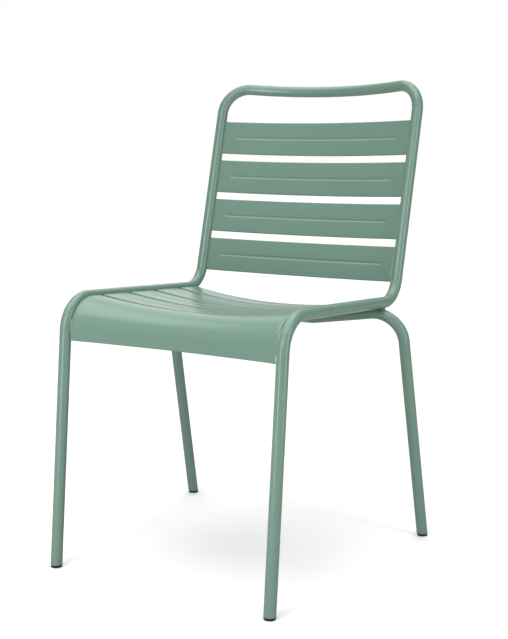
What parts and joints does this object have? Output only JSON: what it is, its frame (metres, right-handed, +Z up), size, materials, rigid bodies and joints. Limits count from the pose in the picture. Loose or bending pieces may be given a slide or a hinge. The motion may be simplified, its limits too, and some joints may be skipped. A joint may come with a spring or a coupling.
{
  "type": "stacking chair",
  "caption": "Stacking chair of bent round steel tube with pressed sheet steel slats for the seat and back, an apron rolled over the front of the seat, and plastic foot glides.",
  "frame": {"origin": "on the floor, under the middle of the chair's overall box", "axes": "+Z up, -Y towards the front of the seat, +X towards the sitter's left"},
  "size_m": [0.5318, 0.5962, 0.83],
  "materials": {
    "green_paint": "satin powder coat, sage green",
    "glide_plastic": "fine matte moulded"
  },
  "bodies": {
    "root": {"main_frame_tube": "green_paint", "rear_leg_frame": "green_paint", "foot_front_left": "glide_plastic", "foot_front_right": "glide_plastic", "foot_rear_left": "glide_plastic", "foot_rear_right": "glide_plastic", "back_slat_1": "green_paint", "back_slat_2": "green_paint", "back_slat_3": "green_paint", "back_slat_4": "green_paint", "seat_front_slat": "green_paint", "seat_slat_2": "green_paint", "seat_slat_3": "green_paint", "seat_slat_4": "green_paint", "seat_rear_slat": "green_paint", "crossing_welds": "green_paint", "back_slat_welds": "green_paint", "seat_slat_welds": "green_paint"}
  },
  "joints": []
}
